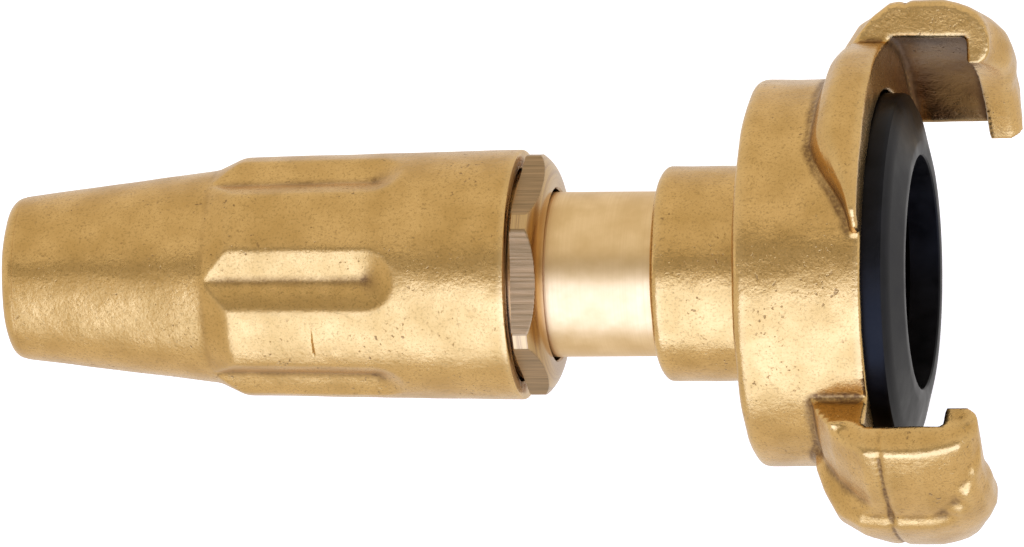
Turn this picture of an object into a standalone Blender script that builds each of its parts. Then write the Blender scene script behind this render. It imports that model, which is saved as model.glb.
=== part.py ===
"""Adjustable brass twist nozzle on one half of a two-claw quick coupling.

X runs along the nozzle, from the tip (-X) to the coupling (+X); the claws are centred on +Y and
-Y, and +Z is up. The origin is the centre of the plane in which two coupled seals meet.
Lengths are in millimetres up to the mesh, where MM turns them into metres. Outlines are lists of
(x, r): x is the station along the axis and r the distance from it. They run anticlockwise, seen
with X to the right and r up, so an outer side runs towards the tip. Angles about the axis are in
degrees, from +Y towards +Z.
"""
import math

import bmesh
import bpy
from mathutils import Matrix, Vector

MM = 0.001
STEPS = 48                    # facets round a turned piece
RING_STEPS = 32               # facets round a small ring
SHARP_ANGLE = 32.0
GAP = 0.3                     # clearance between neighbours

# --- stations along X, from the seal plane towards the tip --------------------------------------
LIP_FRONT_X = 7.95
LIP_REAR_X = 4.3
BELL_FRONT_X = -3.3
FLANGE_REAR_X = -9.0
RECESS_FLOOR_X = -9.2
BELL_REAR_X = -15.8
NECK_STEP_X = -16.3
GASKET_THICKNESS = 0.9
NECK_REAR_X = -25.15
NUT_REAR_X = -35.8
SLEEVE_REAR_X = -39.3
NUT_SHANK_END_X = -43.4
CHAMBER_FLOOR_X = -47.9
FLUTE_REAR_X = -49.9
COLLAR_REAR_X = -50.2
COLLAR_FRONT_X = -57.0
BORE_STEP_X = -62.2
STEM_GROOVE_X = -65.5
GRIP_FRONT_X = -66.65
STEM_LAND_END_X = -68.0
RAMP_FRONT_X = -69.2
PORT_X = -70.6
STEM_FRONT_X = -76.0
OUTLET_REAR_X = -86.0
TIP_X = -89.6

# --- radii --------------------------------------------------------------------------------------
CLAW_RADIUS = 26.5
CLAW_THIN_RADIUS = 25.75        # beside the gap
CLAW_INNER_RADIUS = 22.6
LIP_RADIUS = 20.1             # half the 40 mm claw distance
FLANGE_RADIUS = 22.1
BELL_RADIUS = 18.7
RECESS_RADIUS = 17.6
ROOT_RADIUS = 18.0            # claws and flanges start inside the bell's wall
SEAL_HOLE_RADIUS = 11.3
SEAL_LIP_RADIUS = 12.7
NECK_RADIUS = 10.4
STEM_RADIUS = 8.0
STEM_TAIL_RADIUS = 7.85
STEM_BORE_RADIUS = 5.6
STEM_NOSE_RADIUS = 6.7
STEM_COLLAR_RADIUS = 9.0
SLEEVE_REAR_RADIUS = 12.15
SLEEVE_GRIP_RADIUS = 11.6
CONE_RADIUS = 10.35
TIP_RADIUS = 7.8
OUTLET_RADIUS = 2.6
CHAMBER_RADIUS = 10.35        # the sleeve's rear thread and packing chamber
NUT_TURNED_RADIUS = 11.67
NUT_ACROSS_FLATS = 21.0
NUT_EDGE_ROUND = 3.82         # section radius of the nut's turned rear edge
PLUG_RADIUS = 6.3
PIN_RADIUS = 1.6
PORT_RADIUS = 1.9
PORTS = 4

# --- flutes, claws and flanges about the axis ---------------------------------------------------
FLUTES = 6
FLUTE_PHASE = -2.5            # a flute's centre from +Y, in degrees
FLUTE_BALL_RADIUS = 4.9
FLUTE_END_HALF_WIDTH = 3.05
FLUTE_FLOOR_RADIUS = 10.65
HEXAGON_PHASE = -1.0          # a flat's centre from +Y, in degrees
FLANGE_START = 20.0           # inside the claw, which ends 25 degrees from its centre
FLANGE_FULL_END = 74.0        # the lead-in ramp starts here
FLANGE_TIP = 103.5
FLANGE_TIP_THICKNESS = 1.0

# --- O-rings ------------------------------------------------------------------------------------
STEM_ORING = {"x": STEM_GROOVE_X, "radius": 7.6, "section": 0.55}
PLUG_ORING = {"x": -78.2, "radius": 4.35, "section": 0.6}
GROOVE_PLAY = 0.15            # between an O-ring and the floor and walls of its groove

for old in list(bpy.data.objects):
    bpy.data.objects.remove(old)


# --- helpers ------------------------------------------------------------------------------------
def collection(name):
    """A new collection in the scene."""
    made = bpy.data.collections.new(name)
    bpy.context.scene.collection.children.link(made)
    return made


PARTS = collection("twist_nozzle")
CUTTERS = collection("cutters")


def material(name, colour, roughness, metallic):
    """A Principled material."""
    made = bpy.data.materials.new(name)
    made.use_nodes = True
    shader = made.node_tree.nodes["Principled BSDF"]
    shader.inputs["Base Color"].default_value = (*colour, 1.0)
    shader.inputs["Roughness"].default_value = roughness
    shader.inputs["Metallic"].default_value = metallic
    return made


FORGED_BRASS = material("forged_brass", (0.62, 0.42, 0.15), 0.42, 1.0)
TURNED_BRASS = material("turned_brass", (0.68, 0.48, 0.22), 0.28, 1.0)
BLACK_RUBBER = material("black_rubber", (0.02, 0.02, 0.022), 0.45, 0.0)
WHITE_PACKING = material("white_packing", (0.78, 0.76, 0.70), 0.6, 0.0)


def body(name, x, parent=None):
    """An empty on the nozzle's axis, which carries the pieces that move together."""
    empty = bpy.data.objects.new(name, None)
    empty.empty_display_type = "ARROWS"
    empty.empty_display_size = 10 * MM
    empty.location.x = x * MM
    PARTS.objects.link(empty)
    if parent:
        hang(empty, parent)
    return empty


def hang(obj, parent):
    """Parent an object without moving it."""
    bpy.context.view_layer.update()
    obj.parent = parent
    obj.matrix_parent_inverse = parent.matrix_world.inverted()


def add_object(name, mesh, group):
    """A mesh object in one of the two collections."""
    obj = bpy.data.objects.new(name, mesh)
    group.objects.link(obj)
    if group is CUTTERS:
        obj.hide_render = True
        obj.display_type = "WIRE"
    return obj


def turned(name, outline, group=PARTS, steps=STEPS, closed=True):
    """An outline turned about X. An open outline starts and ends on the axis."""
    mesh = bpy.data.meshes.new(name)
    edges = [(i, i + 1) for i in range(len(outline) - 1)]
    if closed:
        edges.append((len(outline) - 1, 0))
    mesh.from_pydata([(x * MM, 0.0, r * MM) for x, r in outline], edges, [])
    obj = add_object(name, mesh, group)
    screw = obj.modifiers.new("Turn", "SCREW")
    screw.axis = "X"
    screw.angle = math.tau
    screw.steps = steps
    screw.render_steps = steps
    screw.use_merge_vertices = True
    screw.merge_threshold = 0.00001
    return obj


def lofted(name, sections, group=CUTTERS):
    """A closed body through (angle, outline) sections about the axis, with flat ends."""
    bm = bmesh.new()
    rings = []
    for angle, outline in sections:
        turn = math.radians(angle)
        rings.append([bm.verts.new((x * MM, r * MM * math.cos(turn), r * MM * math.sin(turn)))
                      for x, r in outline])
    count = len(rings[0])
    for near, far in zip(rings, rings[1:]):
        for i in range(count):
            j = (i + 1) % count
            bm.faces.new((near[i], far[i], far[j], near[j]))
    bm.faces.new(rings[0])
    bm.faces.new(reversed(rings[-1]))
    bmesh.ops.recalc_face_normals(bm, faces=bm.faces)
    mesh = bpy.data.meshes.new(name)
    bm.to_mesh(mesh)
    bm.free()
    return add_object(name, mesh, group)


def prism(name, sides, radius, depth, placement):
    """A cutter with straight sides along its own Z, placed by a matrix."""
    bm = bmesh.new()
    bmesh.ops.create_cone(bm, cap_ends=True, segments=sides, depth=depth * MM,
                          radius1=radius * MM, radius2=radius * MM)
    mesh = bpy.data.meshes.new(name)
    bm.to_mesh(mesh)
    bm.free()
    obj = add_object(name, mesh, CUTTERS)
    obj.matrix_world = placement
    return obj


def combine(obj, other, operation):
    """A Boolean of one object with another."""
    boolean = obj.modifiers.new(operation.title(), "BOOLEAN")
    boolean.operation = operation
    boolean.solver = "EXACT"
    boolean.object = other


def settle(obj, finish, parent):
    """Make a piece plain mesh, smooth between its sharp edges, and hang it on its body."""
    graph = bpy.context.evaluated_depsgraph_get()
    mesh = bpy.data.meshes.new_from_object(obj.evaluated_get(graph))
    obj.modifiers.clear()
    obj.data = mesh
    mesh.name = obj.name
    mesh.shade_smooth()
    mesh.set_sharp_from_angle(angle=math.radians(SHARP_ANGLE))
    mesh.materials.clear()
    mesh.materials.append(finish)
    hang(obj, parent)
    return obj


def arc(centre, radius, start, end, points):
    """Points of a round corner from one angle to another, in degrees, both ends included."""
    angles = [math.radians(start + (end - start) * i / (points - 1)) for i in range(points)]
    return [(centre[0] + radius * math.cos(a), centre[1] + radius * math.sin(a)) for a in angles]


def ring(name, x_front, x_rear, inner, outer, finish, parent, steps=STEPS):
    """A flat ring with square edges: a washer, gasket or packing."""
    half = (x_rear - x_front) / 2
    outline = [(half, outer), (-half, outer), (-half, inner), (half, inner)]
    obj = turned(name, outline, steps=steps)
    obj.location.x = (x_front + x_rear) / 2 * MM
    return settle(obj, finish, parent)


def o_ring(name, place, parent):
    """A round rubber ring."""
    outline = arc((0.0, place["radius"]), place["section"], 0, 315, 8)
    obj = turned(name, outline, steps=RING_STEPS)
    obj.location.x = place["x"] * MM
    return settle(obj, BLACK_RUBBER, parent)


def groove(place):
    """The three numbers of an O-ring's groove: its rear wall, front wall and floor radius."""
    half = place["section"] + GROOVE_PLAY + 0.2
    return place["x"] + half, place["x"] - half, place["radius"] - place["section"] - GROOVE_PLAY


# --- hose side: coupling, seal, gasket, stem and plug -------------------------------------------
def claw_outline(outer, bulk, front):
    """Section of a claw: root in the bell's wall, arm outside the seal, lip that turns inwards.

    outer is the arm's radius, bulk, from 0 to 1, swells the rear slope, and front is the
    station of the lip's front.
    """
    return [
        (front - 0.75, outer - 1.3),
        (front - 2.75, outer),
        (BELL_FRONT_X + 0.1 - 1.6 * bulk, outer),
        (-5.2 - 2.2 * bulk, outer - 1.5),
        (-6.7 - 1.9 * bulk, FLANGE_RADIUS + 0.1),
        (-8.2 - 1.2 * bulk, 20.3),
        (FLANGE_REAR_X - 0.6 * bulk, ROOT_RADIUS),
        (BELL_FRONT_X - 0.2, ROOT_RADIUS),
        (BELL_FRONT_X - 0.2, CLAW_INNER_RADIUS),
        (LIP_REAR_X, CLAW_INNER_RADIUS),
        (LIP_REAR_X, LIP_RADIUS),
        (front - 0.95, LIP_RADIUS),
        (front, LIP_RADIUS + 1.1),
        (front, outer - 3.1),
    ]


def claw(name, centre):
    """A claw, thick beside its flange and thinner beside the gap, with rounded ends."""
    thin, thick, round_end = CLAW_THIN_RADIUS, CLAW_RADIUS, 0.5
    sections = []
    for angle, outer, bulk, setback in (
            (-25.0, thin - round_end, 0.0, 0.5), (-23.4, thin, 0.0, 0.4), (-16.0, thin, 0.0, 0.4),
            (-9.0, thin, 0.0, 0.4), (-5.5, thick, 1.0, 0.0), (1.0, thick, 1.0, 0.0),
            (8.0, thick, 1.0, 0.0), (13.0, thick, 0.8, 0.3), (19.0, thick, 0.25, 0.9),
            (23.4, thick, 0.0, 1.35), (25.0, thick - round_end, 0.0, 1.5)):
        outline = claw_outline(outer, bulk, LIP_FRONT_X - setback)
        sections.append((centre + angle, outline))
    return lofted(name, sections)


def flange(name, centre):
    """A flange sector behind the seal, whose rear face ramps up from a thin tip."""
    full = BELL_FRONT_X - 0.1 - FLANGE_REAR_X
    angles = [FLANGE_START + 9.0 * i for i in range(7)]
    angles += [FLANGE_FULL_END + (FLANGE_TIP - FLANGE_FULL_END) * i / 5 for i in range(1, 6)]
    sections = []
    for angle in angles:
        along = max(0.0, (angle - FLANGE_FULL_END) / (FLANGE_TIP - FLANGE_FULL_END))
        thick = full + (FLANGE_TIP_THICKNESS - full) * along
        front = BELL_FRONT_X - 0.1
        sections.append((centre + angle, [
            (front, FLANGE_RADIUS),
            (front - thick * 0.72, FLANGE_RADIUS),
            (front - thick * 0.9, ROOT_RADIUS + 1.2),
            (front - thick, ROOT_RADIUS),
            (front, ROOT_RADIUS),
        ]))
    return lofted(name, sections)


def coupling_body(parent):
    """Neck, bell, two flanges and two claws, in one forging."""
    fillet = 1.0
    outline = [
        (BELL_FRONT_X, BELL_RADIUS),
        *arc((BELL_REAR_X + fillet, BELL_RADIUS - fillet), fillet, 90, 180, 4),
        (BELL_REAR_X, NECK_RADIUS),
        (NECK_REAR_X + 0.4, NECK_RADIUS),
        (NECK_REAR_X, NECK_RADIUS - 0.4),
        (NECK_REAR_X, STEM_TAIL_RADIUS + GAP),
        (NECK_STEP_X, STEM_TAIL_RADIUS + GAP),
        (NECK_STEP_X, 6.0),
        (-14.5, 7.5),
        (RECESS_FLOOR_X, 12.5),
        (RECESS_FLOOR_X, RECESS_RADIUS),
        (BELL_FRONT_X, RECESS_RADIUS),
    ]
    obj = turned("coupling_body", outline)
    for i, centre in enumerate((0.0, 180.0)):
        combine(obj, flange(f"flange_{i + 1}", centre), "UNION")
        combine(obj, claw(f"claw_{i + 1}", centre), "UNION")
    return settle(obj, FORGED_BRASS, parent)


def coupling_seal(parent):
    """Rubber lip seal: its cone rises to the lip that meets the other coupling's seal."""
    outer = RECESS_RADIUS - GAP
    outline = [
        (0.0, SEAL_LIP_RADIUS),
        (-1.3, outer),
        (RECESS_FLOOR_X + GAP, outer),
        (RECESS_FLOOR_X + GAP, 12.6),
        (-7.2, 13.8),
        (-4.2, 13.8),
        (-3.0, SEAL_HOLE_RADIUS),
        (0.0, SEAL_HOLE_RADIUS),
    ]
    return settle(turned("coupling_seal", outline), BLACK_RUBBER, parent)


def neck_gasket(parent):
    """Flat gasket between the neck's inner step and the stem's rear end."""
    rear = NECK_STEP_X - GAP
    return ring("neck_gasket", rear - GASKET_THICKNESS, rear, 6.1, STEM_TAIL_RADIUS,
                BLACK_RUBBER, parent)


def stem(parent):
    """Turned tube with a threaded collar, an O-ring land and a nose with side ports."""
    tail_x = NECK_STEP_X - 2 * GAP - GASKET_THICKNESS
    rear_wall, front_wall, floor = groove(STEM_ORING)
    outline = [
        (tail_x, STEM_TAIL_RADIUS),
        (NECK_REAR_X + 0.15, STEM_TAIL_RADIUS),
        (NECK_REAR_X - 0.1, STEM_RADIUS),
        (COLLAR_REAR_X, STEM_RADIUS),
        (COLLAR_REAR_X - 0.8, STEM_COLLAR_RADIUS),
        (COLLAR_FRONT_X + 0.8, STEM_COLLAR_RADIUS),
        (COLLAR_FRONT_X, STEM_RADIUS),
        (rear_wall, STEM_RADIUS),
        (rear_wall, floor),
        (front_wall, floor),
        (front_wall, STEM_RADIUS),
        (STEM_LAND_END_X, STEM_RADIUS),
        (STEM_LAND_END_X - 0.8, STEM_NOSE_RADIUS),
        (STEM_FRONT_X, STEM_NOSE_RADIUS),
        (STEM_FRONT_X, STEM_BORE_RADIUS),
        (tail_x, STEM_BORE_RADIUS),
    ]
    obj = turned("stem", outline)
    for i in range(PORTS):
        place = (Matrix.Rotation(math.tau * (i + 0.5) / PORTS, 4, "X")
                 @ Matrix.Translation((PORT_X * MM, 0.0, STEM_RADIUS * MM)))
        combine(obj, prism(f"port_{i + 1}", 16, PORT_RADIUS, STEM_RADIUS, place), "DIFFERENCE")
    return settle(obj, TURNED_BRASS, parent)


def jet_plug(parent):
    """Plug pressed into the stem's front end: shank, cone with an O-ring groove, and pin."""
    rear_wall, front_wall, floor = groove(PLUG_ORING)
    cone_rear, cone_front = STEM_FRONT_X - 0.35, -81.9
    slope = (PLUG_RADIUS - 1.8) / (cone_rear - cone_front)

    def cone_radius(x):
        return PLUG_RADIUS - slope * (cone_rear - x)

    outline = [
        (STEM_FRONT_X + 2.6, 0.0),
        (STEM_FRONT_X + 2.6, STEM_BORE_RADIUS - GAP),
        (cone_rear, STEM_BORE_RADIUS - GAP),
        (cone_rear, PLUG_RADIUS),
        (rear_wall, cone_radius(rear_wall)),
        (rear_wall, floor),
        (front_wall, floor),
        (front_wall, cone_radius(front_wall)),
        (cone_front, cone_radius(cone_front)),
        (cone_front, PIN_RADIUS),
        (cone_front - 2.3, PIN_RADIUS),
        (cone_front - 2.6, PIN_RADIUS - 0.3),
        (cone_front - 2.6, 0.0),
    ]
    return settle(turned("jet_plug", outline, steps=RING_STEPS, closed=False),
                  TURNED_BRASS, parent)


# --- gland pack: rides along with the sleeve but doesn't turn ------------------------------------
def gland_pack(parent):
    """Packing between two washers, in the chamber in front of the nut's shank."""
    inner, outer = STEM_RADIUS + GAP, CHAMBER_RADIUS - GAP
    rear = NUT_SHANK_END_X - GAP
    for name, thickness, finish in (("gland_rear_washer", 0.9, TURNED_BRASS),
                                    ("gland_packing", 1.6, WHITE_PACKING),
                                    ("gland_front_washer", 0.8, TURNED_BRASS)):
        ring(name, rear - thickness, rear, inner, outer, finish, parent)
        rear -= thickness + GAP


# --- nozzle head: sleeve and gland nut -----------------------------------------------------------
def nozzle_sleeve(parent):
    """Tapered sleeve with six flutes that end in a ball shape and run out at the front."""
    edge = 1.2
    outline = [
        (SLEEVE_REAR_X, SLEEVE_REAR_RADIUS - 0.35),
        (SLEEVE_REAR_X - 0.35, SLEEVE_REAR_RADIUS),
        (GRIP_FRONT_X, SLEEVE_GRIP_RADIUS),
        (RAMP_FRONT_X, CONE_RADIUS),
        *arc((TIP_X + edge, TIP_RADIUS - edge + 0.1), edge, 90, 180, 4),
        (TIP_X, 4.2),
        (TIP_X + 1.6, OUTLET_RADIUS),
        (OUTLET_REAR_X, OUTLET_RADIUS),
        (OUTLET_REAR_X + 6.4, 7.92),
        (-73.5, STEM_RADIUS + GAP),
        (BORE_STEP_X - 0.6, STEM_RADIUS + GAP),
        (BORE_STEP_X, STEM_COLLAR_RADIUS + GAP),
        (CHAMBER_FLOOR_X, STEM_COLLAR_RADIUS + GAP),
        (CHAMBER_FLOOR_X, CHAMBER_RADIUS),
        (SLEEVE_REAR_X, CHAMBER_RADIUS),
    ]
    obj = turned("nozzle_sleeve", outline)
    ball_x = FLUTE_REAR_X - FLUTE_END_HALF_WIDTH
    for i in range(FLUTES):
        ball = arc((0.0, 0.0), FLUTE_BALL_RADIUS, 0, 90, 7)
        end = RAMP_FRONT_X - 3.0 - ball_x
        cutter = turned(f"flute_{i + 1}", ball + [(end, FLUTE_BALL_RADIUS), (end, 0.0)],
                        CUTTERS, 32, closed=False)
        turn = math.radians(FLUTE_PHASE + 360.0 / FLUTES * i)
        height = FLUTE_FLOOR_RADIUS + FLUTE_BALL_RADIUS
        cutter.location = Vector((ball_x, height * math.cos(turn), height * math.sin(turn))) * MM
        combine(obj, cutter, "DIFFERENCE")
    return settle(obj, FORGED_BRASS, parent)


def gland_nut(parent):
    """Hexagon nut with a turned, rounded rear edge and a threaded shank, drawn without thread."""
    outline = [
        *arc((NUT_REAR_X - NUT_EDGE_ROUND, 8.8), NUT_EDGE_ROUND, 0, 48.7, 6),
        (SLEEVE_REAR_X + GAP, NUT_TURNED_RADIUS),
        (SLEEVE_REAR_X + GAP, CHAMBER_RADIUS - GAP),
        (NUT_SHANK_END_X, CHAMBER_RADIUS - GAP),
        (NUT_SHANK_END_X, STEM_RADIUS + GAP),
        (NUT_REAR_X, STEM_RADIUS + GAP),
    ]
    obj = turned("gland_nut", outline)
    place = (Matrix.Translation((NUT_REAR_X * MM, 0.0, 0.0))
             @ Matrix.Rotation(math.radians(HEXAGON_PHASE + 30.0), 4, "X")
             @ Matrix.Rotation(math.pi / 2, 4, "Y"))
    hexagon = prism("hexagon", 6, NUT_ACROSS_FLATS / math.sqrt(3), 30.0, place)
    combine(obj, hexagon, "INTERSECT")
    return settle(obj, TURNED_BRASS, parent)


def build():
    """Every piece, body by body."""
    hose_side = body("hose_side_axis", LIP_FRONT_X)
    coupling_body(hose_side)
    coupling_seal(hose_side)
    neck_gasket(hose_side)
    stem(hose_side)
    o_ring("stem_oring", STEM_ORING, hose_side)
    jet_plug(hose_side)
    o_ring("plug_oring", PLUG_ORING, hose_side)
    slide = body("gland_pack_axis", NUT_SHANK_END_X)
    gland_pack(slide)
    head = body("nozzle_head_axis", SLEEVE_REAR_X, slide)
    nozzle_sleeve(head)
    gland_nut(head)


build()
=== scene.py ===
"""Looks of the adjustable brass nozzle: fine forged and turned surfaces, brass and rubber
materials, soft studio light, a pale floor and the camera.

Lengths are in millimetres up to the mesh, where MM turns them into metres. X is the station along
the nozzle's axis, from the tip (-X) to the coupling (+X), and r the distance from it. Angles about
the axis are in degrees, from +Y towards +Z. Colours are linear RGB.
"""
import math

import bmesh
import bpy
import numpy as np
from mathutils import Matrix, Vector, noise


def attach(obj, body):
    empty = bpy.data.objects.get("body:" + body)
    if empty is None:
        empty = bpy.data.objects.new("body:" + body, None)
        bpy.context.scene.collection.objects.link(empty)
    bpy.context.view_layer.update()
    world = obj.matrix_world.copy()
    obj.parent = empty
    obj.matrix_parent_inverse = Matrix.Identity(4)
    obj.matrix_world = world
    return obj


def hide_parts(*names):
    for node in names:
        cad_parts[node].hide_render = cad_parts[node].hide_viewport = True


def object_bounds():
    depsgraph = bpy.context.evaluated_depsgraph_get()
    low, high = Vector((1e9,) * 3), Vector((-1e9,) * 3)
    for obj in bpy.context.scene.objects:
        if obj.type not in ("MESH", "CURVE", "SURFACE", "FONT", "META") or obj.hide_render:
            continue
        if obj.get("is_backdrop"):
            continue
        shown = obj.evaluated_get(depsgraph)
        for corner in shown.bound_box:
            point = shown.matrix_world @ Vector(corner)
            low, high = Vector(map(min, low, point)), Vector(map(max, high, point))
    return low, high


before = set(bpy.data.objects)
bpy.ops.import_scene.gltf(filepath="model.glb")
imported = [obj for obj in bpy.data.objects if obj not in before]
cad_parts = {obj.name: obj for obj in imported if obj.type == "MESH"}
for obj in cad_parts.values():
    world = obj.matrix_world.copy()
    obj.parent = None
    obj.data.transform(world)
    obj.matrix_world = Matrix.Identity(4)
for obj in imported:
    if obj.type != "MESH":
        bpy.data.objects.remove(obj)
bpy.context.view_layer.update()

MM = 0.001

# --- driving dimensions ---------------------------------------------------------------------------
# Sleeve: its ends, its grip, its front cone, the flutes and the nick on one land
TIP_X, RAMP_FRONT_X, SLEEVE_REAR_X = -89.6, -69.4, -39.05
SLEEVE_REAR_RADIUS, SLEEVE_GRIP_RADIUS, CONE_RADIUS, TIP_RADIUS = 12.15, 11.6, 10.35, 7.8
TIP_EDGE, OUTLET_RADIUS, CHAMBER_RADIUS, COLLAR_BORE = 1.2, 2.6, 8.3, 9.3
FLUTES, FLUTE_PHASE, FLUTE_HALF_WIDTH, FLUTE_DEPTH = 6, -2.5, 3.05, 1.25
FLUTE_REAR_X, GRIP_FRONT_X, RAMP_START_X, CONE_START_X = -49.9, -66.5, -69.2, -72.45
NICK_X, NICK_START, NICK_END, NICK_DEPTH, NICK_SLOPE = -58.2, 141.0, 156.0, 0.16, 1.1

# Gland nut: half its width across flats, its turned radius and the arc of its chamfer
HEX_PHASE, NUT_FLAT, NUT_RADIUS, NUT_REAR_X, NUT_FRONT_X = -1.0, 10.5, 11.67, -35.8, -38.5
CHAMFER_RADIUS, CHAMFER_CENTRE, CHAMFER_END = 3.82, 8.8, 48.7
SHANK_FRONT_X, SHANK_RADIUS, SHANK_BORE, GLAND_SOCKET = -43.4, 10.05, 8.35, 10.35

# Stem: tube, its thinner tail in the neck, threaded collar, O-ring groove, and nose
STEM_RADIUS, TAIL_RADIUS, COLLAR_RADIUS, GROOVE_RADIUS, NOSE_RADIUS = 8.0, 7.85, 9.0, 6.9, 6.7
STEM_BORE, TAIL_END_X, COLLAR_REAR_X, COLLAR_FRONT_X, NOSE_X = 5.6, -17.8, -50.2, -57.0, -76.0
GROOVE_REAR_X, GROOVE_FRONT_X, LAND_FRONT_X = -64.6, -66.4, -68.0

# Seal: lip round the hole, round shoulder, and the hollow behind the lip
SEAL_HOLE, SEAL_LIP_RADIUS, SEAL_RADIUS, SEAL_HOLLOW, SEAL_REAR_X = 11.3, 12.6, 17.3, 13.8, -8.9

# Coupling body: bell, neck, flanges and claws
BELL_FRONT_X, BELL_REAR_X, BELL_RADIUS, BELL_FILLET = -3.3, -15.8, 18.7, 0.9
NECK_REAR_X, NECK_RADIUS = -25.15, 10.4
FLANGE_RADIUS, ROOT_RADIUS = 22.1, 18.0
FLANGE_START, FLANGE_FULL_END, FLANGE_TIP, FLANGE_THICK, TIP_THICK = 18.0, 74.0, 103.5, 5.7, 1.0
CLAW_CENTRES, CLAW_HALF_ANGLE = (0.0, 180.0), 25.0
CLAW_INNER_RADIUS, CLAW_THIN_RADIUS, CLAW_STEP = 22.6, 25.6, 0.7
LIP_FRONT_X, LIP_REAR_X, LIP_RADIUS = 7.95, 4.3, 20.1

# --- colours --------------------------------------------------------------------------------------
# The third colour darkens the brass's pits, as dirt, and its hollows, as painted shade.
GOLD, TAN, DIRT_AND_SHADE = (0.72, 0.45, 0.16), (0.57, 0.34, 0.105), (0.13, 0.06, 0.025)
# The second colour browns the claws' inner walls: partly patina, partly painted shade.
POLISHED, PATINA_AND_SHADE = (0.9, 0.66, 0.32), (0.10, 0.045, 0.016)
STEM_LIGHT, STEM_DARK = (0.84, 0.59, 0.29), (0.72, 0.48, 0.21)
# The nut's flats are painted darker than its chamfer: painted shade for the dark that the flats
# mirror.
NUT_LIGHT, NUT_DARK, NUT_CHAMFER = (0.42, 0.26, 0.12), (0.25, 0.16, 0.07), (0.58, 0.38, 0.16)
RUBBER_BLACK = (0.002, 0.0017, 0.0018)
PACKING_WHITE, PACKING_GREY = (0.82, 0.80, 0.74), (0.6, 0.57, 0.5)


# --- mesh helpers ---------------------------------------------------------------------------------
def add_mesh(name, verts, faces):
    """A mesh object from vertices in millimetres."""
    mesh = bpy.data.meshes.new(name)
    mesh.from_pydata([Vector(v) * MM for v in verts], [], faces)
    mesh.update()
    obj = bpy.data.objects.new(name, mesh)
    bpy.context.scene.collection.objects.link(obj)
    return obj


def arc(x, r, radius, start, end, points):
    """Points of a round corner about (x, r), from one angle to another in degrees."""
    angles = np.radians(np.linspace(start, end, points))
    return [(x + radius * math.cos(a), r + radius * math.sin(a)) for a in angles]


def refine(outline, step):
    """An outline with extra points, so that no stretch is longer than step."""
    fine = []
    for (xa, ra), (xb, rb) in zip(outline, outline[1:] + outline[:1]):
        parts = max(1, math.ceil(math.hypot(xb - xa, rb - ra) / step))
        fine += [(xa + (xb - xa) * i / parts, ra + (rb - ra) * i / parts) for i in range(parts)]
    return fine


def side_faces(rows, count, closed):
    """Quads between neighbouring rows of count points; closed joins the last row to the first."""
    faces = []
    for s in range(rows if closed else rows - 1):
        near, far = s * count, (s + 1) % rows * count
        for i in range(count):
            j = (i + 1) % count
            faces.append((near + i, near + j, far + j, far + i))
    return faces


def revolve(name, outline, steps, shape=None):
    """A closed outline turned about X. shape(x, r, angle) may move each point's radius."""
    verts = []
    for s in range(steps):
        angle = 360.0 * s / steps
        y, z = math.cos(math.radians(angle)), math.sin(math.radians(angle))
        for x, r in outline:
            radius = shape(x, r, angle) if shape else r
            verts.append((x, radius * y, radius * z))
    return add_mesh(name, verts, side_faces(steps, len(outline), True))


def lofted(name, sections):
    """A closed body through (angle, outline) sections about the axis, with flat ends."""
    verts = []
    for angle, outline in sections:
        y, z = math.cos(math.radians(angle)), math.sin(math.radians(angle))
        verts += [(x, r * y, r * z) for x, r in outline]
    count = len(sections[0][1])
    faces = side_faces(len(sections), count, False)
    faces.append(tuple(reversed(range(count))))
    faces.append(tuple(range(len(verts) - count, len(verts))))
    return add_mesh(name, verts, faces)


def apply_modifiers(obj):
    """Turn an object's modifiers into plain mesh."""
    graph = bpy.context.evaluated_depsgraph_get()
    mesh = bpy.data.meshes.new_from_object(obj.evaluated_get(graph))
    obj.modifiers.clear()
    obj.data = mesh


def fuse(name, parts, voxel, rounds):
    """Fuse overlapping bodies into one skin and soften its edges."""
    bm = bmesh.new()
    for part in parts:
        bm.from_mesh(part.data)
        bpy.data.objects.remove(part)
    mesh = bpy.data.meshes.new(name)
    bm.to_mesh(mesh)
    bm.free()
    obj = bpy.data.objects.new(name, mesh)
    bpy.context.scene.collection.objects.link(obj)
    remesh = obj.modifiers.new("Skin", "REMESH")
    remesh.mode = "VOXEL"
    remesh.voxel_size = voxel * MM
    smooth = obj.modifiers.new("Soften", "SMOOTH")
    smooth.factor = 0.5
    smooth.iterations = rounds
    apply_modifiers(obj)
    return obj


def soft_min(a, b, blend):
    """The lower of two numbers, with a rounded change between them."""
    share = min(1.0, max(0.0, 0.5 + 0.5 * (b - a) / blend))
    return b + (a - b) * share - blend * share * (1 - share)


def soft_max(a, b, blend):
    """The higher of two numbers, with a rounded change between them."""
    return -soft_min(-a, -b, blend)


def smoothstep(low, high, value):
    """0 below low, 1 above high, and a smooth change between them."""
    share = min(1.0, max(0.0, (value - low) / (high - low)))
    return share * share * (3 - 2 * share)


def store(mesh, name, values):
    """Store a number for each of the mesh's points, for its material to read."""
    layer = mesh.attributes.new(name, "FLOAT", "POINT")
    layer.data.foreach_set("value", np.asarray(values, np.float32))


def read_points(mesh, field):
    """A field of the mesh's points, such as co or normal, as an array of rows of three."""
    values = np.empty(len(mesh.vertices) * 3)
    mesh.vertices.foreach_get(field, values)
    return values.reshape(-1, 3)


def dent(obj, size, depth):
    """Move the skin in and out a little, as forging leaves it uneven."""
    place, normal = read_points(obj.data, "co"), read_points(obj.data, "normal")
    swell = [noise.noise(Vector(p) / MM / size) * depth * MM for p in place]
    place += normal * np.array(swell)[:, None]
    obj.data.vertices.foreach_set("co", place.ravel())
    obj.data.update()


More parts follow.
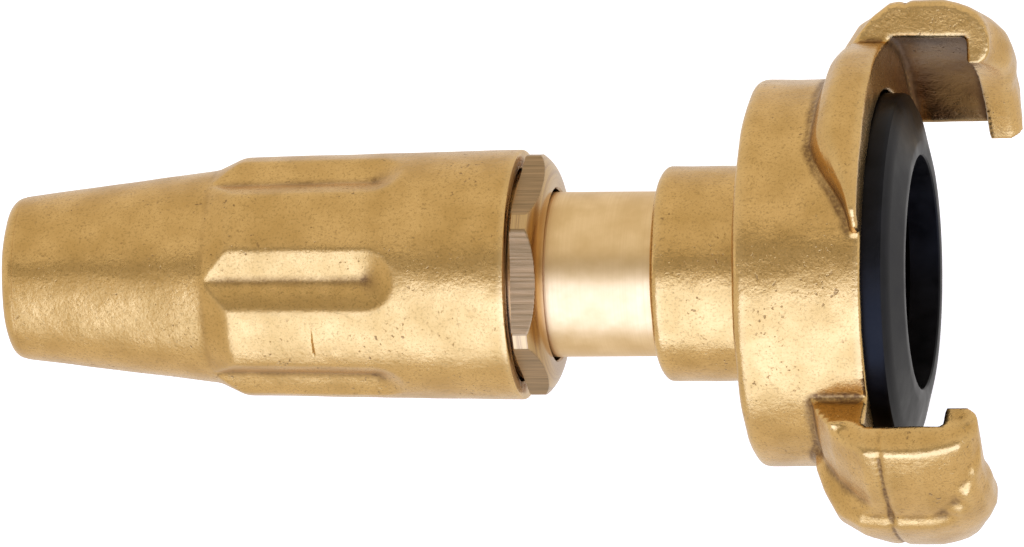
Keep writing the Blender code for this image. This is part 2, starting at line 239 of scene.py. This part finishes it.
def mark_hollows_and_edges(obj, reach, scale):
    """Store how hollow and how proud each point is, for painted shade and dirt and polished edges.

    The skin is averaged over reach rounds; a point that then moves by scale (mm) counts as 1.
    """
    mesh = obj.data
    count = len(mesh.vertices)
    place, normal = read_points(mesh, "co"), read_points(mesh, "normal")
    edges = np.empty(len(mesh.edges) * 2, int)
    mesh.edges.foreach_get("vertices", edges)
    a, b = edges.reshape(-1, 2).T
    degree = np.bincount(a, minlength=count) + np.bincount(b, minlength=count)
    moved = place.copy()
    for _ in range(reach):
        total = np.zeros_like(moved)
        for axis in range(3):
            total[:, axis] = (np.bincount(a, moved[b, axis], count)
                              + np.bincount(b, moved[a, axis], count))
        moved = total / degree[:, None]
    hollow = np.einsum("ij,ij->i", moved - place, normal) / (scale * MM)
    store(mesh, "hollow", np.clip(hollow, 0, 1))
    store(mesh, "proud", np.clip(-hollow, 0, 1))


def smooth_shading(obj, angle=40.0):
    """Smooth shading between sharp edges."""
    obj.data.shade_smooth()
    obj.data.set_sharp_from_angle(angle=math.radians(angle))


def show(obj, body, material, slot, *nodes):
    """Give a finished piece its material and body, and hide the CAD nodes that it stands for; the
    slot is not used.
    """
    obj.data.materials.clear()
    obj.data.materials.append(material)
    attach(obj, body)
    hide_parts(*nodes)


# --- materials ------------------------------------------------------------------------------------
def node(tree, kind, inputs=None, **settings):
    """A node, with its settings and its inputs set or linked."""
    made = tree.nodes.new(kind)
    for key, value in settings.items():
        setattr(made, key, value)
    for key, value in (inputs or {}).items():
        if isinstance(value, bpy.types.NodeSocket):
            tree.links.new(value, made.inputs[key])
        else:
            made.inputs[key].default_value = value
    return made


def new_material(name):
    """A node material, its node tree, its Principled shader and its own coordinates in mm."""
    material = bpy.data.materials.new(name)
    material.use_nodes = True
    tree = material.node_tree
    shader = tree.nodes["Principled BSDF"]
    coordinates = node(tree, "ShaderNodeTexCoord").outputs["Object"]
    millimetres = node(tree, "ShaderNodeMapping", {"Vector": coordinates, "Scale": (1000,) * 3})
    return material, tree, shader, millimetres.outputs[0]


def noise_field(tree, place, scale, detail=3.0, stretch=(1, 1, 1), rough=0.5):
    """Noise from 0 to 1; scale is in features per mm, and stretch scales each axis."""
    placed = node(tree, "ShaderNodeMapping", {"Vector": place, "Scale": stretch}).outputs[0]
    return node(tree, "ShaderNodeTexNoise", {"Vector": placed, "Scale": scale, "Detail": detail,
                                             "Roughness": rough}).outputs["Fac"]


def fit(tree, value, low, high, to_low=0.0, to_high=1.0):
    """A value mapped from one range to another, and held inside it."""
    return node(tree, "ShaderNodeMapRange", {"Value": value, "From Min": low, "From Max": high,
                                             "To Min": to_low, "To Max": to_high}).outputs[0]


def maths(tree, operation, a, b):
    """Arithmetic on two values."""
    return node(tree, "ShaderNodeMath", {0: a, 1: b}, operation=operation).outputs[0]


def mix(tree, share, a, b):
    """A colour between two colours."""
    made = node(tree, "ShaderNodeMix", {0: share}, data_type="RGBA")
    for index, value in ((6, a), (7, b)):
        if isinstance(value, bpy.types.NodeSocket):
            tree.links.new(value, made.inputs[index])
        else:
            made.inputs[index].default_value = (*value, 1.0)
    return made.outputs[2]


def attribute(tree, name):
    """A value stored on the mesh."""
    return node(tree, "ShaderNodeAttribute", attribute_name=name).outputs["Fac"]


def bump(tree, shader, height, distance, strength=1.0):
    """Bump from a height field; distance is in mm."""
    made = node(tree, "ShaderNodeBump", {"Height": height, "Distance": distance * MM,
                                         "Strength": strength})
    tree.links.new(made.outputs[0], shader.inputs["Normal"])


def forged_brass(name, light, dark, dirt_and_shade_colour, rough):
    """Forged and blasted brass: soft blotches, fine grain, dark pits, dirt and painted shade in
    hollows.
    """
    material, tree, shader, place = new_material(name)
    shader.inputs["Metallic"].default_value = 1.0
    blotch = noise_field(tree, place, 0.28, 4.0)
    grain = noise_field(tree, place, 3.2, 3.0, rough=0.65)
    colour = mix(tree, fit(tree, blotch, 0.35, 0.65), light, dark)
    colour = mix(tree, fit(tree, grain, 0.35, 0.75, 0.0, 0.5), colour, dark)
    speck = fit(tree, noise_field(tree, place, 4.2, 2.0, rough=0.7), 0.52, 0.68, 0.0, 0.6)
    colour = mix(tree, speck, colour, tuple(0.62 * c for c in dark))
    cluster = fit(tree, noise_field(tree, place, 0.22, 2.0), 0.5, 0.62)
    pits = fit(tree, noise_field(tree, place, 2.4, 1.0), 0.66, 0.74)
    density = maths(tree, "ADD", maths(tree, "MULTIPLY", cluster, 0.55), 0.12)
    pits = maths(tree, "MULTIPLY", pits, density)
    # Painted shade: the hollows darken towards the dirt colour, as if shade fell in them. The pits
    # are dirt.
    hollow = fit(tree, attribute(tree, "hollow"), 0.08, 0.6)
    hollow = maths(tree, "MULTIPLY", hollow, fit(tree, grain, 0.3, 0.6, 0.45, 1.0))
    hollow = maths(tree, "MULTIPLY", hollow, fit(tree, blotch, 0.25, 0.6, 0.55, 1.0))
    dirt_and_shade_share = maths(tree, "MAXIMUM", hollow, pits)
    colour = mix(tree, maths(tree, "MULTIPLY", dirt_and_shade_share, 0.85), colour, dirt_and_shade_colour)
    # Painted shade with patina: the claws' inner walls turn dark brown.
    patina_and_shade = maths(tree, "MULTIPLY", attribute(tree, "patina_and_shade"),
                   fit(tree, blotch, 0.3, 0.7, 1.0, 0.75))
    colour = mix(tree, patina_and_shade, colour, PATINA_AND_SHADE)
    proud = fit(tree, attribute(tree, "proud"), 0.15, 1.0)
    colour = mix(tree, maths(tree, "MULTIPLY", proud, 0.2), colour, POLISHED)
    tree.links.new(colour, shader.inputs["Base Color"])
    roughness = fit(tree, blotch, 0.3, 0.7, rough - 0.03, rough + 0.05)
    roughness = maths(tree, "ADD", roughness, maths(tree, "MULTIPLY", dirt_and_shade_share, 0.2))
    tree.links.new(roughness, shader.inputs["Roughness"])
    height = maths(tree, "ADD", maths(tree, "MULTIPLY", grain, 0.5),
                   noise_field(tree, place, 0.9, 3.0))
    height = maths(tree, "SUBTRACT", height, maths(tree, "MULTIPLY", pits, 0.8))
    bump(tree, shader, height, 0.06, 0.8)
    return material


def turned_brass(name, light, dark, rough):
    """Brass turned on a lathe: fine rings round the axis, faint blotches."""
    material, tree, shader, place = new_material(name)
    shader.inputs["Metallic"].default_value = 1.0
    rings = noise_field(tree, place, 1.0, 4.0, stretch=(7.0, 0.02, 0.02))
    blotch = noise_field(tree, place, 0.35, 3.0)
    colour = mix(tree, fit(tree, blotch, 0.35, 0.65), light, dark)
    colour = mix(tree, fit(tree, rings, 0.4, 0.7, 0.0, 0.3), colour, dark)
    tree.links.new(colour, shader.inputs["Base Color"])
    tree.links.new(fit(tree, rings, 0.3, 0.7, rough - 0.04, rough + 0.06),
                   shader.inputs["Roughness"])
    bump(tree, shader, rings, 0.02, 0.5)
    return material


def milled_brass(name, light, dark, chamfer):
    """The nut's brass: flats milled along the axis, darkened as painted shade, and a turned chamfer
    of a warmer tone.
    """
    material, tree, shader, place = new_material(name)
    shader.inputs["Metallic"].default_value = 1.0
    flat = attribute(tree, "flat")
    lines = noise_field(tree, place, 1.0, 4.0, stretch=(0.1, 3.5, 3.5), rough=0.6)
    rings = noise_field(tree, place, 1.0, 3.0, stretch=(5.0, 0.05, 0.05))
    # Painted shade: the flats' brass is dark, for the dark that they mirror.
    milled = mix(tree, fit(tree, lines, 0.35, 0.65), light, dark)
    colour = mix(tree, flat, mix(tree, fit(tree, rings, 0.4, 0.6), chamfer, light), milled)
    tree.links.new(colour, shader.inputs["Base Color"])
    tree.links.new(fit(tree, flat, 0, 1, 0.24, 0.32), shader.inputs["Roughness"])
    height = maths(tree, "ADD", maths(tree, "MULTIPLY", lines, flat),
                   maths(tree, "MULTIPLY", rings, 0.3))
    bump(tree, shader, height, 0.03, 0.6)
    return material


def rubber(name, colour, rough):
    """Moulded black rubber with a faint bloom."""
    material, tree, shader, place = new_material(name)
    shader.inputs["Specular IOR Level"].default_value = 0.13
    bloom = noise_field(tree, place, 0.4, 4.0)
    tree.links.new(mix(tree, fit(tree, bloom, 0.35, 0.7), colour,
                       tuple(c * 1.8 + 0.003 for c in colour)), shader.inputs["Base Color"])
    tree.links.new(fit(tree, bloom, 0.3, 0.7, rough - 0.05, rough + 0.07),
                   shader.inputs["Roughness"])
    bump(tree, shader, noise_field(tree, place, 5.0, 2.0), 0.01, 0.4)
    return material


def packing_material(name):
    """Pressed white packing with a felted grain."""
    material, tree, shader, place = new_material(name)
    fibre = noise_field(tree, place, 2.5, 5.0, stretch=(1.0, 0.4, 0.4))
    tree.links.new(mix(tree, fibre, PACKING_WHITE, PACKING_GREY), shader.inputs["Base Color"])
    tree.links.new(fit(tree, fibre, 0.3, 0.7, 0.5, 0.75), shader.inputs["Roughness"])
    bump(tree, shader, fibre, 0.05, 0.5)
    return material


# --- nozzle head ----------------------------------------------------------------------------------
def plain_sleeve_radius(x):
    """The sleeve's outer radius before its ramp and flutes: the grip, or in front the cone."""
    if x > CONE_START_X:
        share = (x - SLEEVE_REAR_X) / (GRIP_FRONT_X - SLEEVE_REAR_X)
        return SLEEVE_REAR_RADIUS + (SLEEVE_GRIP_RADIUS - SLEEVE_REAR_RADIUS) * min(1.0, share)
    return cone_radius(x)


def cone_radius(x):
    """The radius of the sleeve's front cone."""
    return TIP_RADIUS + (CONE_RADIUS - TIP_RADIUS) * (x - TIP_X) / (RAMP_FRONT_X - TIP_X)


def sleeve_radius(x, r, angle):
    """The sleeve's outer radius: cone, ramp and grip, with six ball-ended flutes."""
    if x <= CONE_START_X or r < SLEEVE_GRIP_RADIUS - 1e-6 or x > SLEEVE_REAR_X - 0.1:
        return r
    pitch = 360.0 / FLUTES
    from_flute = (angle - FLUTE_PHASE + pitch / 2) % pitch - pitch / 2
    rise = (SLEEVE_GRIP_RADIUS - CONE_RADIUS) * (x - RAMP_START_X) / (GRIP_FRONT_X - RAMP_START_X)
    land = soft_min(r, CONE_RADIUS + rise, 0.2)
    across = r * math.sin(math.radians(from_flute))
    into_end = max(0.0, x - (FLUTE_REAR_X - FLUTE_HALF_WIDTH))
    off_line = math.hypot(across, into_end) / FLUTE_HALF_WIDTH
    if abs(from_flute) < 25.0:
        land = soft_min(land, r - FLUTE_DEPTH * (1.0 - math.hypot(off_line, 0.15)), 0.12)
    if NICK_START < angle < NICK_END:
        along = (angle - NICK_START) / (NICK_END - NICK_START)
        land -= max(0.0, NICK_DEPTH * along ** 0.5 - NICK_SLOPE * abs(x - NICK_X))
    return soft_max(min(cone_radius(x), CONE_RADIUS), land, 0.2)


def build_sleeve(material):
    """Sleeve with its rounded tip, its flutes and the bore that shows at both ends."""
    edge = TIP_EDGE
    stations = [*np.arange(SLEEVE_REAR_X - 0.3, TIP_X + edge, -0.2),
                *np.arange(NICK_X - 0.3, NICK_X + 0.31, 0.05)]
    stations = np.unique(np.round(stations, 3))[::-1]
    outer = [(x, plain_sleeve_radius(x)) for x in stations]
    tip = arc(TIP_X + edge, TIP_RADIUS - edge + 0.1, edge, 90, 180, 9)
    inside = [
        (TIP_X, 4.3), (TIP_X + 0.25, 4.0), (TIP_X + 1.6, OUTLET_RADIUS + 0.1),
        (TIP_X + 1.9, OUTLET_RADIUS), (-86.0, OUTLET_RADIUS), (-79.6, 7.92),
        (-73.5, CHAMBER_RADIUS), (-62.8, CHAMBER_RADIUS), (-62.2, COLLAR_BORE),
        (-47.9, COLLAR_BORE), (-47.9, GLAND_SOCKET), (SLEEVE_REAR_X - 0.3, GLAND_SOCKET),
        (SLEEVE_REAR_X, GLAND_SOCKET + 0.3), (SLEEVE_REAR_X, SLEEVE_REAR_RADIUS - 0.17),
        (SLEEVE_REAR_X - 0.03, SLEEVE_REAR_RADIUS - 0.09),
        (SLEEVE_REAR_X - 0.1, SLEEVE_REAR_RADIUS - 0.03),
    ]
    obj = revolve("sleeve_skin", outer + tip + inside, 360, sleeve_radius)
    dent(obj, 4.0, 0.05)
    mark_hollows_and_edges(obj, 12, 0.16)
    smooth_shading(obj)
    show(obj, "nozzle_head", material, "forged_brass", "nozzle_sleeve")


def angle_from_flat(angle):
    """An angle about the axis, measured from the middle of the nearest flat of the nut."""
    return (angle - HEX_PHASE + 30.0) % 60.0 - 30.0


def hexagon_radius(x, r, angle):
    """The nut's outer radius: round, but no farther out than its six flats. The shank is round."""
    if r < SHANK_RADIUS + 0.01:
        return r
    return soft_min(r, NUT_FLAT / math.cos(math.radians(angle_from_flat(angle))), 0.06)


def mark_flats(obj):
    """Store which of the nut's points lie on its flats, which are milled."""
    x, y, z = (read_points(obj.data, "co") / MM).T
    from_flat = angle_from_flat(np.degrees(np.arctan2(z, y)))
    reach = np.hypot(y, z) * np.cos(np.radians(from_flat))
    store(obj.data, "flat", (abs(reach - NUT_FLAT) < 0.05) & (x < NUT_REAR_X))


def build_nut(material):
    """Hexagon nut: six flats, narrow corner lands, a rounded turned chamfer."""
    rear, front = NUT_REAR_X, NUT_FRONT_X
    chamfer = arc(rear - CHAMFER_RADIUS, CHAMFER_CENTRE, CHAMFER_RADIUS, 0.0, CHAMFER_END, 34)
    lands = [(x, NUT_RADIUS) for x in np.arange(chamfer[-1][0] - 0.1, front + 0.1, -0.1)]
    shank = [(front, NUT_RADIUS), (front - 0.1, NUT_RADIUS - 0.1), (front - 0.1, SHANK_RADIUS),
             (SHANK_FRONT_X, SHANK_RADIUS), (SHANK_FRONT_X, SHANK_BORE),
             (rear - 0.2, SHANK_BORE), (rear, SHANK_BORE + 0.15)]
    obj = revolve("gland_nut_skin", chamfer + lands + shank, 720, hexagon_radius)
    mark_flats(obj)
    smooth_shading(obj, 25.0)
    show(obj, "nozzle_head", material, "turned_brass", "gland_nut")


# --- hose side ------------------------------------------------------------------------------------
def claw_outline(angle):
    """Section of a claw at an angle from its centre.

    It is thick beside its flange (angle > 0) and steps down to a thinner half beside the gap; the
    step starts earlier near the front. The rear slope swells behind the thick half.
    """
    bulk = smoothstep(-3.0, 3.0, angle) * (1.0 - smoothstep(9.0, 21.0, angle))
    setback = 0.4 * (1.0 - smoothstep(-8.0, 2.0, angle)) + 1.4 * smoothstep(9.0, 24.0, angle)
    end_round = 0.35 * smoothstep(CLAW_HALF_ANGLE - 2.0, CLAW_HALF_ANGLE, angle)
    profile = ((LIP_FRONT_X, 3.6), (7.35, 2.3), (6.3, 1.3), (5.0, 0.7), (3.4, 0.3), (2.0, 0.0),
               (-1.25, 0.0), (-1.7, 0.42), (-2.1, 0.05), (BELL_FRONT_X - 1.6 * bulk, 0.25),
               (-5.0 - 2.2 * bulk, 1.6))
    outline = []
    for x, drop in profile:
        start = 0.5 - 4.5 * max(0.0, x - 4.0)
        outer = CLAW_THIN_RADIUS + CLAW_STEP * smoothstep(start, start + 4.0, angle) - end_round
        outer = min(outer, CLAW_INNER_RADIUS + 0.6 + 0.95 * (angle + CLAW_HALF_ANGLE))
        outline.append((x - setback * max(0.0, x - 3.4) / (LIP_FRONT_X - 3.4),
                        max(outer - drop, CLAW_INNER_RADIUS - 0.3 * drop)))
    return outline + [
        (-6.6 - 1.9 * bulk, 22.5),
        (-8.2 - 1.2 * bulk, 20.3),
        (-9.0 - 0.6 * bulk, ROOT_RADIUS),
        (BELL_FRONT_X, ROOT_RADIUS),
        (BELL_FRONT_X, CLAW_INNER_RADIUS),
        (LIP_REAR_X, CLAW_INNER_RADIUS),
        (LIP_REAR_X, LIP_RADIUS),
        (7.0 - setback, LIP_RADIUS),
        (7.6 - setback, LIP_RADIUS + 0.4),
        (LIP_FRONT_X - setback, LIP_RADIUS + 1.2),
    ]


def build_claw(centre):
    """A claw, section by section round the axis."""
    angles = np.arange(-CLAW_HALF_ANGLE, CLAW_HALF_ANGLE + 0.01, 1.0)
    return lofted("claw", [(centre + angle, claw_outline(angle)) for angle in angles])


def build_flange(centre):
    """A flange sector whose rear face ramps up from a thin tip."""
    front = BELL_FRONT_X
    sections = []
    for angle in np.arange(FLANGE_START, FLANGE_TIP + 0.01, 1.5):
        along = smoothstep(FLANGE_FULL_END, FLANGE_TIP, angle)
        thick = FLANGE_THICK - (FLANGE_THICK - TIP_THICK) * along
        outer = FLANGE_RADIUS - 1.6 * smoothstep(FLANGE_TIP - 4.0, FLANGE_TIP, angle)
        sections.append((centre + angle, [
            (front, outer - 0.15), (front - 0.15, outer), (front - thick * 0.56, outer),
            (front - thick * 0.66, outer - 0.3), (front - thick * 0.80, outer - 1.1),
            (front - thick * 0.95, ROOT_RADIUS + 0.8), (front - thick - 0.2, ROOT_RADIUS),
            (front, ROOT_RADIUS),
        ]))
    return lofted("flange", sections)


def mark_claw_insides(obj):
    """Store where the claws' inner walls are, which are painted dark brown: patina and painted
    shade.
    """
    x, y, z = (read_points(obj.data, "co") / MM).T
    reach = np.hypot(y, z)
    behind_lip = (x > BELL_FRONT_X + 0.1) & (x < LIP_REAR_X + 0.2)
    store(obj.data, "patina_and_shade",
          behind_lip & (reach > ROOT_RADIUS + 0.9) & (reach < CLAW_INNER_RADIUS + 0.15))


def build_coupling(material):
    """Neck, bell, flanges and claws as one forging."""
    outline = [
        (BELL_FRONT_X, BELL_RADIUS - 0.15), (BELL_FRONT_X - 0.15, BELL_RADIUS),
        *arc(BELL_REAR_X + BELL_FILLET, BELL_RADIUS - BELL_FILLET, BELL_FILLET, 90, 180, 6),
        (BELL_REAR_X, NECK_RADIUS + 0.25), (BELL_REAR_X - 0.25, NECK_RADIUS),
        (NECK_REAR_X + 0.5, NECK_RADIUS), (NECK_REAR_X, NECK_RADIUS - 0.5),
        (NECK_REAR_X, 8.15), (-16.3, 8.15), (-16.3, 6.0), (-14.5, 7.5),
        (-9.2, 12.5), (-9.2, 17.6), (BELL_FRONT_X, 17.6),
    ]
    parts = [revolve("bell", outline, 240)]
    for centre in CLAW_CENTRES:
        parts += [build_claw(centre), build_flange(centre)]
    obj = fuse("coupling_skin", parts, 0.25, 4)
    dent(obj, 3.5, 0.07)
    mark_hollows_and_edges(obj, 10, 0.10)
    mark_claw_insides(obj)
    smooth_shading(obj, 60.0)
    show(obj, "hose_side", material, "forged_brass", "coupling_body")


def build_stem(material):
    """The stem, with finer facets than its CAD solid and without its hidden side ports."""
    outline = [
        (TAIL_END_X, TAIL_RADIUS), (NECK_REAR_X - 0.05, TAIL_RADIUS),
        (NECK_REAR_X - 0.3, STEM_RADIUS), (COLLAR_REAR_X, STEM_RADIUS),
        (COLLAR_REAR_X - 0.8, COLLAR_RADIUS), (COLLAR_FRONT_X + 0.8, COLLAR_RADIUS),
        (COLLAR_FRONT_X, STEM_RADIUS), (GROOVE_REAR_X, STEM_RADIUS),
        (GROOVE_REAR_X, GROOVE_RADIUS), (GROOVE_FRONT_X, GROOVE_RADIUS),
        (GROOVE_FRONT_X, STEM_RADIUS), (LAND_FRONT_X, STEM_RADIUS),
        (LAND_FRONT_X - 0.8, NOSE_RADIUS), (NOSE_X, NOSE_RADIUS),
        (NOSE_X, STEM_BORE), (TAIL_END_X, STEM_BORE),
    ]
    obj = revolve("stem_skin", refine(outline, 2.0), 192)
    smooth_shading(obj, 25.0)
    show(obj, "hose_side", material, "turned_brass", "stem")


def build_seal(material):
    """Lip seal: a round shoulder, a cone and the flat lip round its hole."""
    outline = [
        (0.0, SEAL_LIP_RADIUS), (-0.05, SEAL_LIP_RADIUS + 0.2), (-1.0, 16.2),
        *arc(-1.95, SEAL_RADIUS - 0.8, 0.8, 60, 90, 6),
        (SEAL_REAR_X + 0.2, SEAL_RADIUS), (SEAL_REAR_X, SEAL_RADIUS - 0.2),
        (SEAL_REAR_X, SEAL_LIP_RADIUS), (-7.2, SEAL_HOLLOW), (-4.2, SEAL_HOLLOW),
        (-3.0, SEAL_HOLE), (-0.2, SEAL_HOLE), (-0.05, SEAL_HOLE + 0.1), (0.0, SEAL_HOLE + 0.3),
    ]
    obj = revolve("seal_skin", refine(outline, 0.6), 256)
    smooth_shading(obj, 30.0)
    show(obj, "hose_side", material, "black_rubber", "coupling_seal")


def dress_inner_nodes(brass, black, white):
    """Materials of the inner pieces, which keep their CAD shape."""
    finishes = {
        "jet_plug": brass,
        "gland_rear_washer": brass,
        "gland_front_washer": brass,
        "neck_gasket": black,
        "stem_oring": black,
        "plug_oring": black,
        "gland_packing": white,
    }
    for name, material in finishes.items():
        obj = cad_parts[name]
        obj.data.materials.clear()
        obj.data.materials.append(material)


# --- studio ---------------------------------------------------------------------------------------
CAMERA_ELEVATION, CAMERA_YAW, CAMERA_ROLL = 65.0, 10.5, 0.38
CAMERA_SIDE = 180.0 - CAMERA_ELEVATION        # the camera's angle about the axis
CAMERA_DISTANCE, CAMERA_LENS = 1165.0, 421.9
TARGET_X, TARGET_RISE = -40.35, 0.12

KEY_ANGLE, KEY_DISTANCE, KEY_X = CAMERA_SIDE + 46.5, 550.0, 180.0
KEY_LENGTH, KEY_WIDTH, KEY_RADIANCE, KEY_COLOUR = 1000.0, 840.0, 2.9, (0.325, 0.475, 1.0)
FLAG_ANGLE, FLAG_DISTANCE, FLAG_COLOUR = CAMERA_SIDE - 11.5, 500.0, (0.30, 0.275, 0.21, 1)
FLAG_HALF_LENGTH, FLAG_HALF_WIDTH = 700.0, 98.0
SKY_COLOUR, SKY_STRENGTH = (1, 0.97, 0.95, 1), 0.88
FLOOR_HALF_WIDTH, FLOOR_GAP, FLOOR_GLOW = 3000.0, 0.2, 0.6


def around(angle):
    """The unit vector at an angle about the axis."""
    return Vector((0.0, math.cos(math.radians(angle)), math.sin(math.radians(angle))))


def add_camera():
    """The camera, above the nozzle and a little towards the coupling's end."""
    toward = around(CAMERA_SIDE)
    yaw = math.radians(CAMERA_YAW)
    back = Vector((math.sin(yaw), 0, 0)) + toward * math.cos(yaw)
    right = Vector((math.cos(yaw), 0, 0)) - toward * math.sin(yaw)
    up = back.cross(right)
    roll = math.radians(CAMERA_ROLL)
    right, up = (right * math.cos(roll) - up * math.sin(roll),
                 up * math.cos(roll) + right * math.sin(roll))
    camera = bpy.data.objects.new("camera", bpy.data.cameras.new("camera"))
    camera.data.lens = CAMERA_LENS
    camera.data.sensor_width = 36.0
    camera.data.clip_start, camera.data.clip_end = 0.05, 20.0
    turn = Matrix((right, up, back)).transposed().to_4x4()
    place = (Vector((TARGET_X, 0, 0)) + up * TARGET_RISE + back * CAMERA_DISTANCE) * MM
    camera.matrix_world = Matrix.Translation(place) @ turn
    bpy.context.scene.collection.objects.link(camera)
    bpy.context.scene.camera = camera


def add_key():
    """The key light: a soft panel that faces the axis, tinted blue to cool the brass's shine."""
    length, width = KEY_LENGTH * MM, KEY_WIDTH * MM
    light = bpy.data.lights.new("key", "AREA")
    light.shape = "RECTANGLE"
    light.size, light.size_y = length, width
    light.energy = KEY_RADIANCE * math.pi * width * length
    light.color = KEY_COLOUR
    key = bpy.data.objects.new("key", light)
    side, back = Vector((1, 0, 0)), around(KEY_ANGLE)
    turn = Matrix((side, back.cross(side), back)).transposed().to_4x4()
    place = (Vector((KEY_X, 0, 0)) + back * KEY_DISTANCE) * MM
    key.matrix_world = Matrix.Translation(place) @ turn
    key.visible_camera = False
    bpy.context.scene.collection.objects.link(key)


def add_card(name, half_length, half_width, material_name, colour):
    """A flat card of the stage in a plain material, returned with its shader."""
    corners = [(-half_length, -half_width, 0), (half_length, -half_width, 0),
               (half_length, half_width, 0), (-half_length, half_width, 0)]
    card = add_mesh(name, corners, [(0, 1, 2, 3)])
    card.visible_shadow = False
    material = bpy.data.materials.new(material_name)
    material.use_nodes = True
    shader = material.node_tree.nodes["Principled BSDF"]
    shader.inputs["Base Color"].default_value = colour
    card.data.materials.append(material)
    card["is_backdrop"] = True
    return card, shader


def add_flag():
    """A dark card beside the camera, which the brass mirrors as a brown band."""
    card, _ = add_card("flag", FLAG_HALF_LENGTH, FLAG_HALF_WIDTH, "dark_card", FLAG_COLOUR)
    card.rotation_euler.x = math.radians(FLAG_ANGLE - 90.0)
    card.location = (Vector((TARGET_X, 0, 0)) + around(FLAG_ANGLE) * FLAG_DISTANCE) * MM
    card.visible_camera = False
    card.visible_diffuse = False


def add_floor():
    """A pale floor just under the nozzle, which glows a little and isn't mirrored in the brass."""
    low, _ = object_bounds()
    floor, shader = add_card("floor", FLOOR_HALF_WIDTH, FLOOR_HALF_WIDTH, "pale_floor",
                             (0.9, 0.9, 0.9, 1))
    shader.inputs["Roughness"].default_value = 0.9
    shader.inputs["Emission Color"].default_value = (1, 1, 1, 1)
    shader.inputs["Emission Strength"].default_value = FLOOR_GLOW
    floor.location.z = low.z - FLOOR_GAP * MM
    floor.visible_glossy = False


def add_sky():
    """An even, nearly white world."""
    world = bpy.data.worlds.new("studio")
    bpy.context.scene.world = world
    world.use_nodes = True
    background = world.node_tree.nodes["Background"]
    background.inputs["Color"].default_value = SKY_COLOUR
    background.inputs["Strength"].default_value = SKY_STRENGTH
    bpy.context.scene.view_settings.view_transform = "Standard"


add_camera()
add_sky()
add_key()
add_flag()
add_floor()

sleeve_brass = forged_brass("sleeve_brass", GOLD, TAN, DIRT_AND_SHADE, 0.27)
coupling_brass = forged_brass("coupling_brass", GOLD, TAN, DIRT_AND_SHADE, 0.24)
stem_brass = turned_brass("stem_brass", STEM_LIGHT, STEM_DARK, 0.36)
nut_brass = milled_brass("nut_brass", NUT_LIGHT, NUT_DARK, NUT_CHAMFER)
seal_rubber = rubber("seal_rubber", RUBBER_BLACK, 0.36)
build_sleeve(sleeve_brass)
build_nut(nut_brass)
build_coupling(coupling_brass)
build_stem(stem_brass)
build_seal(seal_rubber)
dress_inner_nodes(stem_brass, seal_rubber, packing_material("packing"))
